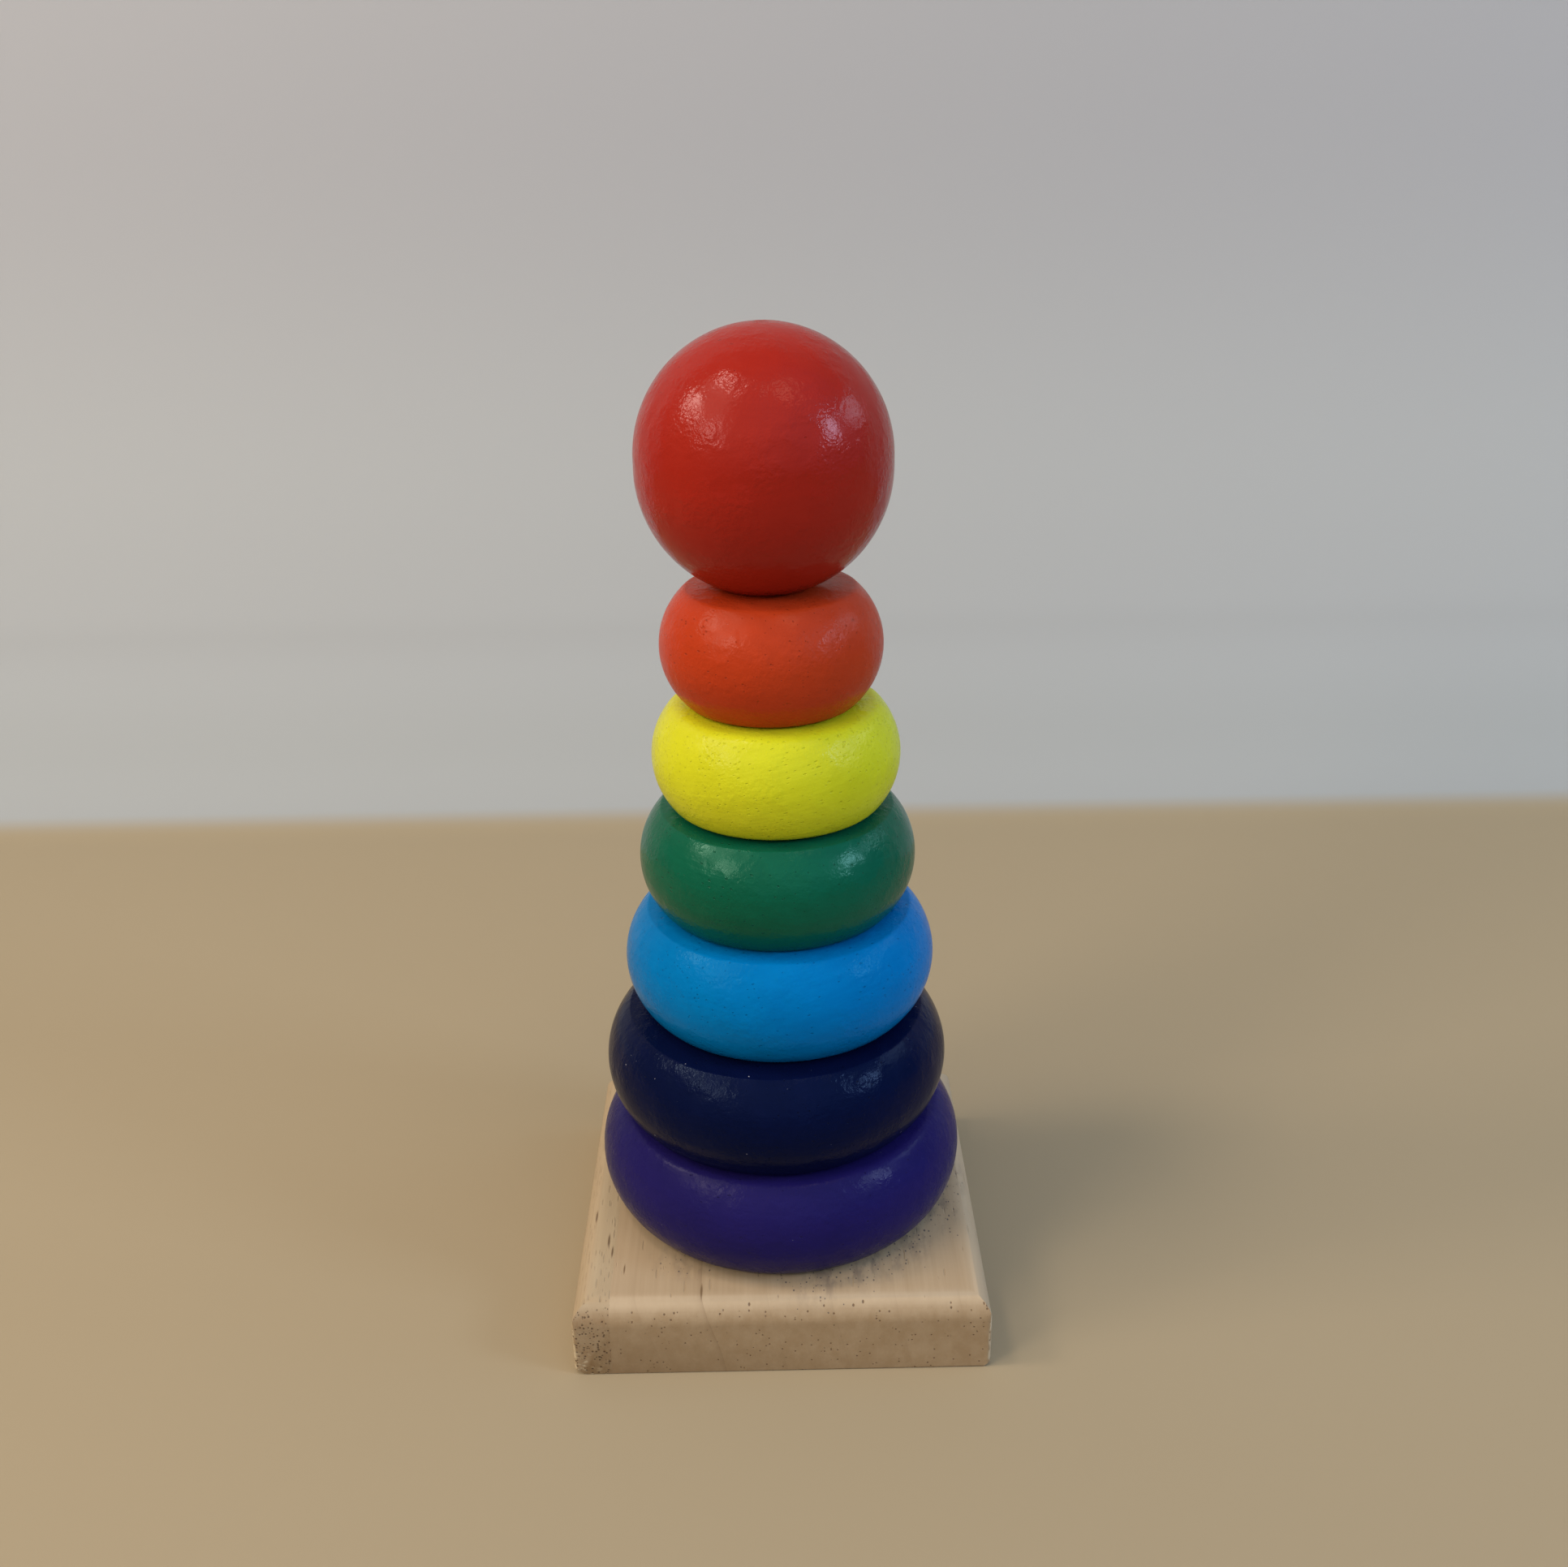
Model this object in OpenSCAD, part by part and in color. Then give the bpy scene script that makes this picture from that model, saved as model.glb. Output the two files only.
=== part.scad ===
// Wooden stacking tower: a square base with a dowel peg, six turned rings and a ball that caps the peg.
// Millimetres, +Z up, origin at the middle of the underside of the base, front of the base towards -Y.

/* [Base] */
// Width and depth of the square base
base_w = 75; // [72:0.5:90]
// Thickness of the base
base_h = 14.8; // [14:0.1:24]
// Radius of the round-over along the four top edges
base_round = 4.4; // [1:0.1:6]
// Radius that breaks the four upright corners
base_corner = 0.8; // [0.3:0.1:3]
// Width of the narrow board glued along the left side
strip_w = 6.8; // [4:0.1:14]

/* [Peg] */
// Diameter of the dowel peg
peg_d = 10; // [8:0.5:11]
// Depth of the blind socket that holds the foot of the peg
socket_depth = 11; // [6:0.5:13]
// Gap for glue all round the foot of the peg
glue_gap = 0.1; // [0.05:0.05:0.3]
// How far the peg reaches into the ball
peg_reach = 18; // [8:0.5:22]
// Radius that rounds the free end of the peg
peg_round = 2; // [0.5:0.1:3.5]

/* [Ring diameters] */
// Outer diameter of the purple ring
purple_d = 68.6; // [60:0.1:72]
// Outer diameter of the navy ring
navy_d = 63.5; // [56:0.1:70]
// Outer diameter of the light blue ring
light_blue_d = 56.5; // [50:0.1:64]
// Outer diameter of the green ring
green_d = 49.5; // [44:0.1:58]
// Outer diameter of the yellow ring
yellow_d = 43.7; // [40:0.1:52]
// Outer diameter of the orange ring
orange_d = 38.4; // [37:0.1:46]

/* [Ring heights] */
// Height of the purple ring
purple_h = 20.6; // [16:0.1:23]
// Height of the navy ring
navy_h = 20.7; // [16:0.1:23]
// Height of the light blue ring
light_blue_h = 20.2; // [16:0.1:23]
// Height of the green ring
green_h = 19.7; // [16:0.1:23]
// Height of the yellow ring
yellow_h = 19.2; // [16:0.1:23]
// Height of the orange ring
orange_h = 20.8; // [16:0.1:23]

/* [Ring form] */
// Radius of the round side of every ring, seen in section
side_r = 13.2; // [12.5:0.1:18]
// How far the land falls from the flat seat to the crease where the round side starts
land_drop = 0.35; // [0.1:0.05:0.8]
// Width of the sloping land between the flat seat and the crease
land_w = 4; // [1:0.1:5]
// Radial play between the bore of a ring and the peg
ring_play = 1.2; // [0.5:0.05:1.5]
// Chamfer at both mouths of every bore
mouth_ease = 0.4; // [0.2:0.1:0.8]

/* [Ring creases] */
// Radius that eases both creases of the purple ring
purple_crease = 2.6; // [0.2:0.1:4]
// Radius that eases both creases of the navy ring
navy_crease = 0.6; // [0.2:0.1:4]
// Radius that eases both creases of the light blue ring
light_blue_crease = 0.9; // [0.2:0.1:4]
// Radius that eases both creases of the green ring
green_crease = 0.6; // [0.2:0.1:4]
// Radius that eases both creases of the yellow ring
yellow_crease = 3; // [0.2:0.1:4]
// Radius that eases both creases of the orange ring
orange_crease = 1.4; // [0.2:0.1:4]

/* [Ball] */
// Diameter of the ball
ball_d = 42.7; // [38:0.1:50]
// Height of the straight band round the middle of the ball
ball_band = 1.6; // [0.4:0.1:4]
// Diameter of the flat on which the ball sits
ball_seat_d = 15.2; // [14.6:0.1:18]
// Diameter of the small flat left where the ball was parted off
ball_scar_d = 2.8; // [1:0.1:5]
// Radial play between the bore of the ball and the peg
ball_play = 0.6; // [0.4:0.05:0.8]
// Free height above the end of the peg inside the ball
headroom = 2.5; // [0.5:0.1:3.5]

/* [Loose stand on the peg] */
// Least gap that stays between a bore and the peg
running_gap = 0.3; // [0.2:0.05:0.4]
// Share of its free play that the purple ring stands off centre
purple_lean = 0.5; // [0:0.05:1]
// Direction in which the purple ring stands off centre
purple_turn = 25; // [0:1:360]
// Share of its free play that the navy ring stands off centre
navy_lean = 1; // [0:0.05:1]
// Direction in which the navy ring stands off centre
navy_turn = 264; // [0:1:360]
// Share of its free play that the light blue ring stands off centre
light_blue_lean = 1; // [0:0.05:1]
// Direction in which the light blue ring stands off centre
light_blue_turn = 15; // [0:1:360]
// Share of its free play that the green ring stands off centre
green_lean = 1; // [0:0.05:1]
// Direction in which the green ring stands off centre
green_turn = 22; // [0:1:360]
// Share of its free play that the yellow ring stands off centre
yellow_lean = 1; // [0:0.05:1]
// Direction in which the yellow ring stands off centre
yellow_turn = 8; // [0:1:360]
// Share of its free play that the orange ring stands off centre
orange_lean = 0.5; // [0:0.05:1]
// Direction in which the orange ring stands off centre
orange_turn = 346; // [0:1:360]
// Share of its free play that the ball stands off centre
ball_lean = 0.7; // [0:0.05:1]
// Direction in which the ball stands off centre
ball_turn = 180; // [0:1:360]

/* [Hidden] */
$fn = 128;

// Overlap that keeps cutting solids clear of the faces they cut
over = 1;
// Depth of an easing arc's centre under both faces per radius, a little under 1 so that the arc cuts both
ease_depth = 0.98;

// The peg, its socket and the bores that run on it
peg_r = peg_d / 2;
socket_r = peg_r + glue_gap;
ring_bore_r = peg_r + ring_play;
ball_bore_r = peg_r + ball_play;

// Height of the foot of each piece in the stack
purple_z = base_h;
navy_z = purple_z + purple_h;
light_blue_z = navy_z + navy_h;
green_z = light_blue_z + light_blue_h;
yellow_z = green_z + green_h;
orange_z = yellow_z + yellow_h;
ball_z = orange_z + orange_h;

// The peg stands on the floor of its socket
peg_foot_z = base_h - socket_depth;
peg_l = ball_z + peg_reach - peg_foot_z;

// The ball: two round caps on a straight band, flat below and at the parting scar
ball_r = ball_d / 2;
ball_low_z = sqrt(ball_r * ball_r - ball_seat_d * ball_seat_d / 4);
ball_high_z = ball_low_z + ball_band;
ball_top_z = ball_high_z + sqrt(ball_r * ball_r - ball_scar_d * ball_scar_d / 4);
ball_bore_l = peg_reach + headroom;

// Sideways stand of a loose piece on the peg
function off_centre(play, lean, turn) = lean * (play - running_gap) * [cos(turn), sin(turn), 0];

// Section of the base across one pair of sides, with the round-over at both top edges
module base_section() {
    flat_w = base_w - 2 * base_round;
    translate([-base_w / 2, 0]) square([base_w, base_h - base_round]);
    translate([-flat_w / 2, 0]) square([flat_w, base_h]);
    for (side = [-1, 1])
        translate([side * flat_w / 2, base_h - base_round]) circle(base_round);
}

// Plan of the base, with its upright corners just broken
module base_plan() {
    inner_w = base_w - 2 * base_corner;
    square([base_w, inner_w], center = true);
    square([inner_w, base_w], center = true);
    for (x = [-1, 1], y = [-1, 1])
        translate([x, y] * inner_w / 2) circle(base_corner);
}

// The whole base before it is parted at the glue line: two crossing sections mitre the round-overs
module base_form() {
    intersection() {
        linear_extrude(base_h) base_plan();
        rotate([90, 0, 0]) linear_extrude(base_w + 2 * over, center = true) base_section();
        rotate([90, 0, 90]) linear_extrude(base_w + 2 * over, center = true) base_section();
    }
}

module left_of_glue_line() {
    translate([-base_w / 2 - over, -base_w / 2 - over, -over])
        cube([strip_w + over, base_w + 2 * over, base_h + 2 * over]);
}

module base_board() {
    color([0.62, 0.51, 0.39])
    difference() {
        base_form();
        left_of_glue_line();
        translate([0, 0, peg_foot_z]) cylinder(r = socket_r, h = socket_depth + over);
    }
}

module base_edge_strip() {
    color([0.56, 0.47, 0.37])
    intersection() {
        base_form();
        left_of_glue_line();
    }
}

module peg() {
    color([0.66, 0.55, 0.42])
    translate([0, 0, peg_foot_z])
    rotate_extrude() {
        square([peg_r, peg_l - peg_round]);
        square([peg_r - peg_round, peg_l]);
        intersection() {
            translate([peg_r - peg_round, peg_l - peg_round]) circle(peg_round);
            square([peg_r, peg_l]);
        }
    }
}

// Bore, flat seats and sloping lands of a ring in half section, carried out to the full radius
module ring_lands(r, h, seat_r) {
    fall = land_drop * (r - seat_r) / land_w;
    polygon([
        [ring_bore_r, mouth_ease], [ring_bore_r + mouth_ease, 0], [seat_r, 0], [r, fall],
        [r, h - fall], [seat_r, h], [ring_bore_r + mouth_ease, h], [ring_bore_r, h - mouth_ease]
    ]);
}

// What the easing arc takes off the crease between the upper land and the round side
module crease_waste(r, h, seat_r, ease_r) {
    inset = ease_depth * ease_r;
    slope = atan(land_drop / land_w);
    along = [cos(slope), -sin(slope)];
    upward = [sin(slope), cos(slope)];
    side_c = [r - side_r, h / 2];
    start = [seat_r, h] - inset * upward - side_c;
    lead = start * along;
    run = sqrt(lead * lead - start * start + pow(side_r - inset, 2)) - lead;
    ease_c = side_c + start + run * along;
    outward = (ease_c - side_c) / norm(ease_c - side_c);
    difference() {
        polygon([ease_c, ease_c + 2 * ease_r * upward, ease_c + 2 * ease_r * outward]);
        translate(ease_c) circle(ease_r);
    }
}

// Half section of a ring: chamfered bore, flat seats, sloping lands, eased creases and round side
module ring_section(r, h, ease_r) {
    crease_in = side_r - sqrt(side_r * side_r - pow(h / 2 - land_drop, 2));
    seat_r = r - crease_in - land_w;
    difference() {
        intersection() {
            ring_lands(r, h, seat_r);
            union() {
                translate([r - side_r, h / 2]) circle(side_r);
                square([seat_r, h]);
            }
        }
        crease_waste(r, h, seat_r, ease_r);
        translate([0, h]) mirror([0, 1]) crease_waste(r, h, seat_r, ease_r);
    }
}

module ring(d, h, ease_r) {
    rotate_extrude() ring_section(d / 2, h, ease_r);
}

module ring_purple() {
    color([0.14, 0.11, 0.33])
    translate([0, 0, purple_z] + off_centre(ring_play, purple_lean, purple_turn))
        ring(purple_d, purple_h, purple_crease);
}

module ring_navy() {
    color([0.05, 0.07, 0.2])
    translate([0, 0, navy_z] + off_centre(ring_play, navy_lean, navy_turn))
        ring(navy_d, navy_h, navy_crease);
}

module ring_light_blue() {
    color([0.01, 0.42, 0.68])
    translate([0, 0, light_blue_z] + off_centre(ring_play, light_blue_lean, light_blue_turn))
        ring(light_blue_d, light_blue_h, light_blue_crease);
}

module ring_green() {
    color([0.05, 0.3, 0.22])
    translate([0, 0, green_z] + off_centre(ring_play, green_lean, green_turn))
        ring(green_d, green_h, green_crease);
}

module ring_yellow() {
    color([0.68, 0.67, 0.08])
    translate([0, 0, yellow_z] + off_centre(ring_play, yellow_lean, yellow_turn))
        ring(yellow_d, yellow_h, yellow_crease);
}

module ring_orange() {
    color([0.65, 0.21, 0.1])
    translate([0, 0, orange_z] + off_centre(ring_play, orange_lean, orange_turn))
        ring(orange_d, orange_h, orange_crease);
}

// Half section of the ball, before its bore
module ball_section() {
    intersection() {
        union() {
            translate([0, ball_low_z]) circle(ball_r);
            translate([0, ball_high_z]) circle(ball_r);
            translate([0, ball_low_z]) square([ball_r, ball_band]);
        }
        square([ball_r, ball_top_z]);
    }
}

module ball_bore_section() {
    translate([0, -over]) square([ball_bore_r, ball_bore_l + over]);
    polygon([
        [0, -over], [ball_bore_r + mouth_ease + over, -over],
        [ball_bore_r, mouth_ease], [0, mouth_ease]
    ]);
}

module ball() {
    color([0.59, 0.15, 0.1])
    translate([0, 0, ball_z] + off_centre(ball_play, ball_lean, ball_turn))
    rotate_extrude()
    difference() {
        ball_section();
        ball_bore_section();
    }
}

base_board();
base_edge_strip();
peg();
ring_purple();
ring_navy();
ring_light_blue();
ring_green();
ring_yellow();
ring_orange();
ball();
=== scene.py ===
import math

import bmesh
import bpy
from mathutils import Matrix, Vector


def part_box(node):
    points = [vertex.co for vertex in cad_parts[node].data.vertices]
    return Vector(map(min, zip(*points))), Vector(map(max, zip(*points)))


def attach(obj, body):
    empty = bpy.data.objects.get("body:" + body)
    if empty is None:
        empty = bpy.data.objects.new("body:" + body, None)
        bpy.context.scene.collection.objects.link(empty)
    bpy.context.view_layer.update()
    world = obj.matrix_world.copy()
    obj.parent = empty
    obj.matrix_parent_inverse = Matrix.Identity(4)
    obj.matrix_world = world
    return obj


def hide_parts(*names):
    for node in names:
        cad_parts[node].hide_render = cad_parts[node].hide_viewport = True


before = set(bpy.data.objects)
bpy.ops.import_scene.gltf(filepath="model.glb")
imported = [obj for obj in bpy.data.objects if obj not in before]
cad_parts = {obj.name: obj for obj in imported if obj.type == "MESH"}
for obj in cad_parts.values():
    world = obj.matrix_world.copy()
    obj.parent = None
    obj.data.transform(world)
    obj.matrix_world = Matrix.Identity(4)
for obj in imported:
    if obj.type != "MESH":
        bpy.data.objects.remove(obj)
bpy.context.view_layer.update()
print("frame loaded:", len(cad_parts), "solids")

mm = 0.001
near = 0.01 * mm  # closer than this counts as the same height
weldGap = 0.001 * mm


def srgb(red, green, blue):  # a colour as read off a screen, 0 to 255
    def one(value):
        value /= 255
        return value / 12.92 if value <= 0.04045 else ((value + 0.055) / 1.055) ** 2.4
    return one(red), one(green), one(blue), 1.0


# picking and shaping

def nothingSelected():
    if bpy.context.object and bpy.context.object.mode != "OBJECT":
        bpy.ops.object.mode_set(mode="OBJECT")
    bpy.ops.object.select_all(action="DESELECT")


def makeActive(piece):
    nothingSelected()
    piece.select_set(True)
    bpy.context.view_layer.objects.active = piece


def startPiece(name):  # the primitive just added becomes the piece, its place in its mesh
    piece = bpy.context.object
    piece.name = name
    piece.data.name = name
    bpy.ops.object.transform_apply(location=True, rotation=True, scale=True)
    bpy.ops.object.mode_set(mode="EDIT")
    bpy.ops.mesh.select_mode(type="VERT")
    return piece


def pick(piece, kind, test):  # selects verts, edges or faces by their place or normal
    bpy.ops.mesh.select_mode(type=kind)
    bpy.ops.mesh.select_all(action="DESELECT")
    shape = bmesh.from_edit_mesh(piece.data)
    parts = {"VERT": shape.verts, "EDGE": shape.edges, "FACE": shape.faces}[kind]
    for part in parts:
        if test(part):
            part.select_set(True)
    shape.select_flush_mode()
    bmesh.update_edit_mesh(piece.data)


def bothEnds(test):  # an edge whose two ends pass
    return lambda edge: all(test(vert.co) for vert in edge.verts)


def extrude(x, y, z):
    bpy.ops.mesh.extrude_region_move(TRANSFORM_OT_translate={"value": (x, y, z)})


def cutAcross(place, facing, **trim):  # a straight cut through the whole piece
    bpy.ops.mesh.select_all(action="SELECT")
    bpy.ops.mesh.bisect(plane_co=place, plane_no=facing, threshold=weldGap, **trim)


def trimBeyond(place, facing):  # takes off all that lies past the cut
    cutAcross(place, facing, use_fill=True, clear_outer=True)


def closeShell():
    bpy.ops.mesh.select_all(action="SELECT")
    bpy.ops.mesh.remove_doubles(threshold=2 * weldGap)
    bpy.ops.mesh.normals_make_consistent(inside=False)


def finishPiece(piece, look, material, smooth=32):
    bpy.ops.object.mode_set(mode="OBJECT")
    bpy.ops.object.shade_smooth_by_angle(angle=math.radians(smooth))
    piece.data.materials.clear()
    piece.data.materials.append(material)
    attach(piece, look["body"])
    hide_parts(look["node"])
    nothingSelected()


# shader node helpers

def feed(tree, socket, value):
    if isinstance(value, bpy.types.NodeSocket):
        tree.links.new(value, socket)
    else:
        socket.default_value = value


def addNode(tree, kind, inputs=None, **settings):
    node = tree.nodes.new(kind)
    for name, value in settings.items():
        setattr(node, name, value)
    for name, value in (inputs or {}).items():
        feed(tree, node.inputs[name], value)
    return node


def maths(tree, operation, *values):
    node = addNode(tree, "ShaderNodeMath", operation=operation)
    for place, value in enumerate(values):
        feed(tree, node.inputs[place], value)
    return node.outputs[0]


def product(tree, *values):
    total = values[0]
    for value in values[1:]:
        total = maths(tree, "MULTIPLY", total, value)
    return total


def weighted(tree, *terms):  # the sum of values, each times its weight
    total = None
    for value, weight in terms:
        part = maths(tree, "MULTIPLY", value, weight)
        total = part if total is None else maths(tree, "ADD", total, part)
    return total


def vectors(tree, operation, first, second=None):
    inputs = {0: first} if second is None else {0: first, 1: second}
    return addNode(tree, "ShaderNodeVectorMath", inputs, operation=operation).outputs


def stretch(tree, vector, scale):  # a copy of the coordinates, scaled along each axis
    return vectors(tree, "MULTIPLY", vector, scale)[0]


def noise(tree, vector, scale, detail=2.0, roughness=0.5, distortion=0.0):
    node = addNode(tree, "ShaderNodeTexNoise", {
        "Vector": vector, "Scale": scale, "Detail": detail,
        "Roughness": roughness, "Distortion": distortion})
    return node.outputs[0]


def longNoise(tree, vector, scale, detail=2.0, roughness=0.5):  # with its own scale along each axis
    return noise(tree, stretch(tree, vector, scale), 1.0, detail, roughness)


def ramp(tree, value, low, high, start=0.0, end=1.0):  # smooth step from low..high to start..end
    node = addNode(tree, "ShaderNodeMapRange", {
        "Value": value, "From Min": low, "From Max": high, "To Min": start, "To Max": end},
        interpolation_type="SMOOTHSTEP")
    return node.outputs[0]


def mixColour(tree, factor, first, second):
    node = addNode(tree, "ShaderNodeMix", data_type="RGBA")
    feed(tree, node.inputs[0], factor)
    feed(tree, node.inputs[6], first)
    feed(tree, node.inputs[7], second)
    return node.outputs[2]


dotSizes = {"least": 0.55, "spread": 0.8}  # against an even dot


def cells(tree, vector, share, inner, outer):  # dots of mixed sizes, one to a cell, in a share of the cells
    node = addNode(tree, "ShaderNodeTexVoronoi", {"Vector": vector, "Scale": 1.0, "Randomness": 1.0})
    chance = addNode(tree, "ShaderNodeSeparateColor", {"Color": node.outputs["Color"]})
    chosen = maths(tree, "LESS_THAN", chance.outputs[0], share)
    size = maths(tree, "MULTIPLY_ADD", chance.outputs[1], dotSizes["spread"], dotSizes["least"])
    away = maths(tree, "DIVIDE", node.outputs["Distance"], size)
    return product(tree, ramp(tree, away, inner, outer, 1.0, 0.0), chosen)


def newGroup(name, inputs, outputs):
    tree = bpy.data.node_groups.new(name, "ShaderNodeTree")
    for label, kind, value in inputs:
        socket = tree.interface.new_socket(label, in_out="INPUT", socket_type=kind)
        if value is not None:
            socket.default_value = value
    for label in outputs:
        tree.interface.new_socket(label, in_out="OUTPUT", socket_type="NodeSocketFloat")
    return tree, tree.nodes.new("NodeGroupInput").outputs, tree.nodes.new("NodeGroupOutput").inputs


# satin paint over turned wood: pebbly peel, turning marks and the pores that show through
skinLook = {  # noise scales to the metre; dot sizes within a cell
    "pebble": 1350, "grit": 3300, "swell": 520, "wave": 95,
    "patch": 150, "patchFrom": (0.36, 0.62, 0.3, 1.0),
    "drift": 110, "driftFrom": (0.38, 0.62, 0.4, 1.0),  # pores come in drifts
    "turned": (70, 70, 1500), "streak": (70, 520, 520), "cloud": 60, "gloss": 260,
    "finePore": (760, 1700, 1700), "finePoreSize": (0.12, 0.25),
    "widePore": (420, 1100, 1100), "widePoreSize": (0.09, 0.20), "wideShare": 0.28,
    "mark": (150, 150, 230), "markSize": (0.03, 0.13), "markShare": 0.16,
    "ragged": 900.0, "raggedReach": 1.4 * mm,
    "waveHeight": 0.8, "poreHeight": 0.7,
}
paintSkin, skinIn, skinOut = newGroup(
    "paintSkin",
    [("Vector", "NodeSocketVector", None), ("Pores", "NodeSocketFloat", 0.2),
     ("Peel", "NodeSocketFloat", 1.0), ("Turning", "NodeSocketFloat", 0.3)],
    ["Height", "Pore", "Mottle", "Gloss", "Mark"])
skinAt = skinIn["Vector"]
pebble = noise(paintSkin, skinAt, skinLook["pebble"], 1.8, 0.6)
grit = noise(paintSkin, skinAt, skinLook["grit"], 1.0)
swell = noise(paintSkin, skinAt, skinLook["swell"], 2.0, 0.5, 0.4)
wave = noise(paintSkin, skinAt, skinLook["wave"], 1.0)
patch = ramp(paintSkin, noise(paintSkin, skinAt, skinLook["patch"]), *skinLook["patchFrom"])
peel = weighted(paintSkin, (pebble, 0.6), (swell, 0.7), (grit, 0.10))
peel = product(paintSkin, peel, patch, skinIn["Peel"])
turned = longNoise(paintSkin, skinAt, skinLook["turned"], 2.0, 0.6)
drift = ramp(paintSkin, noise(paintSkin, skinAt, skinLook["drift"]), *skinLook["driftFrom"])
poreShare = product(paintSkin, skinIn["Pores"], drift)
finePore = cells(paintSkin, stretch(paintSkin, skinAt, skinLook["finePore"]),
                 poreShare, *skinLook["finePoreSize"])
widePore = cells(paintSkin, stretch(paintSkin, skinAt, skinLook["widePore"]),
                 product(paintSkin, poreShare, skinLook["wideShare"]), *skinLook["widePoreSize"])
pore = maths(paintSkin, "MAXIMUM", finePore, widePore)
height = maths(paintSkin, "ADD", peel, product(paintSkin, wave, skinLook["waveHeight"]))
height = maths(paintSkin, "ADD", height, product(paintSkin, turned, skinIn["Turning"]))
height = maths(paintSkin, "SUBTRACT", height, product(paintSkin, pore, skinLook["poreHeight"]))
streak = longNoise(paintSkin, skinAt, skinLook["streak"], 3.0, 0.6)
cloud = noise(paintSkin, skinAt, skinLook["cloud"], 4.0, 0.6)
mottle = weighted(paintSkin, (streak, 0.3), (cloud, 0.5), (turned, 0.2))
jitter = addNode(paintSkin, "ShaderNodeTexNoise", {
    "Vector": skinAt, "Scale": skinLook["ragged"], "Detail": 2.0}).outputs["Color"]
jitter = stretch(paintSkin, jitter, (skinLook["raggedReach"],) * 3)
raggedAt = vectors(paintSkin, "ADD", skinAt, jitter)[0]
mark = cells(paintSkin, stretch(paintSkin, raggedAt, skinLook["mark"]),
             skinLook["markShare"], *skinLook["markSize"])
feed(paintSkin, skinOut["Height"], height)
feed(paintSkin, skinOut["Pore"], pore)
feed(paintSkin, skinOut["Mottle"], ramp(paintSkin, mottle, 0.3, 0.7))
feed(paintSkin, skinOut["Gloss"], ramp(paintSkin, noise(paintSkin, skinAt, skinLook["gloss"], 3.0), 0.3, 0.7))
feed(paintSkin, skinOut["Mark"], mark)

# pale specks of dust that settle on the dark paints
dustLook = {"cell": (480, 480, 480), "size": (0.024, 0.052), "tone": (168, 168, 182)}
dustSpecks, dustIn, dustOut = newGroup(
    "dustSpecks",
    [("Vector", "NodeSocketVector", None), ("Share", "NodeSocketFloat", 0.1)],
    ["Speck"])
dustAt = stretch(dustSpecks, dustIn["Vector"], dustLook["cell"])
feed(dustSpecks, dustOut["Speck"], cells(dustSpecks, dustAt, dustIn["Share"], *dustLook["size"]))

# sawn plank, grain along Y: fibres, vessels, growth lines round a far heart
plankLook = {  # noise scales to the metre, coarse along the grain
    "fibre": (1300, 30, 1300), "band": (330, 9, 330), "broad": (55, 12, 55),
    "warp": (40, 6, 40), "warpReach": 0.16,
    "lineSharp": 20.0, "lineFade": (3 * mm, 10 * mm, 1.0, 0.3),  # one line stands out, the rest are faint
    "gaps": (160, 20, 160), "gapsFrom": (0.30, 0.55, 0.35, 1.0),
    "vessel": (1150, 170, 1150), "vesselSize": (0.20, 0.36), "fibreHeight": 0.4,
}
plankGrain, plankIn, plankOut = newGroup(
    "plankGrain",
    [("Vector", "NodeSocketVector", None), ("Heart", "NodeSocketVector", (-0.0972, 0.0, -0.0179)),
     ("Line Radius", "NodeSocketFloat", 0.0890), ("Line Gap", "NodeSocketFloat", 0.011),
     ("Pores", "NodeSocketFloat", 0.3), ("Fineness", "NodeSocketFloat", 1.0)],
    ["Tone", "Line", "Pore", "Height"])
plankAt = plankIn["Vector"]
fibre = longNoise(plankGrain, plankAt, plankLook["fibre"], 3.0, 0.6)
band = longNoise(plankGrain, plankAt, plankLook["band"])
broad = longNoise(plankGrain, plankAt, plankLook["broad"], 3.0, 0.6)
tone = weighted(plankGrain, (fibre, 0.3), (band, 0.3), (broad, 0.4))
fromHeart = vectors(plankGrain, "SUBTRACT", plankAt, plankIn["Heart"])[0]
radial = vectors(plankGrain, "LENGTH", stretch(plankGrain, fromHeart, (1, 0, 1)))["Value"]
past = maths(plankGrain, "SUBTRACT", radial, plankIn["Line Radius"])
growth = maths(plankGrain, "DIVIDE", past, plankIn["Line Gap"])
warp = maths(plankGrain, "SUBTRACT", longNoise(plankGrain, plankAt, plankLook["warp"]), 0.5)
growth = maths(plankGrain, "ADD", growth, product(plankGrain, warp, plankLook["warpReach"]))
line = maths(plankGrain, "POWER", maths(plankGrain, "FRACT", growth), plankLook["lineSharp"])
faint = ramp(plankGrain, maths(plankGrain, "ABSOLUTE", past), *plankLook["lineFade"])
gaps = ramp(plankGrain, longNoise(plankGrain, plankAt, plankLook["gaps"], 1.0), *plankLook["gapsFrom"])
line = product(plankGrain, line, faint, gaps)
vesselAt = addNode(plankGrain, "ShaderNodeVectorMath", {
    0: stretch(plankGrain, plankAt, plankLook["vessel"]), "Scale": plankIn["Fineness"]},
    operation="SCALE").outputs[0]
vessel = cells(plankGrain, vesselAt, plankIn["Pores"], *plankLook["vesselSize"])
grainHeight = maths(plankGrain, "SUBTRACT", product(plankGrain, fibre, plankLook["fibreHeight"]), vessel)
feed(plankGrain, plankOut["Tone"], ramp(plankGrain, tone, 0.32, 0.68))
feed(plankGrain, plankOut["Line"], line)
feed(plankGrain, plankOut["Pore"], vessel)
feed(plankGrain, plankOut["Height"], grainHeight)
print("node groups ready")


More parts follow.
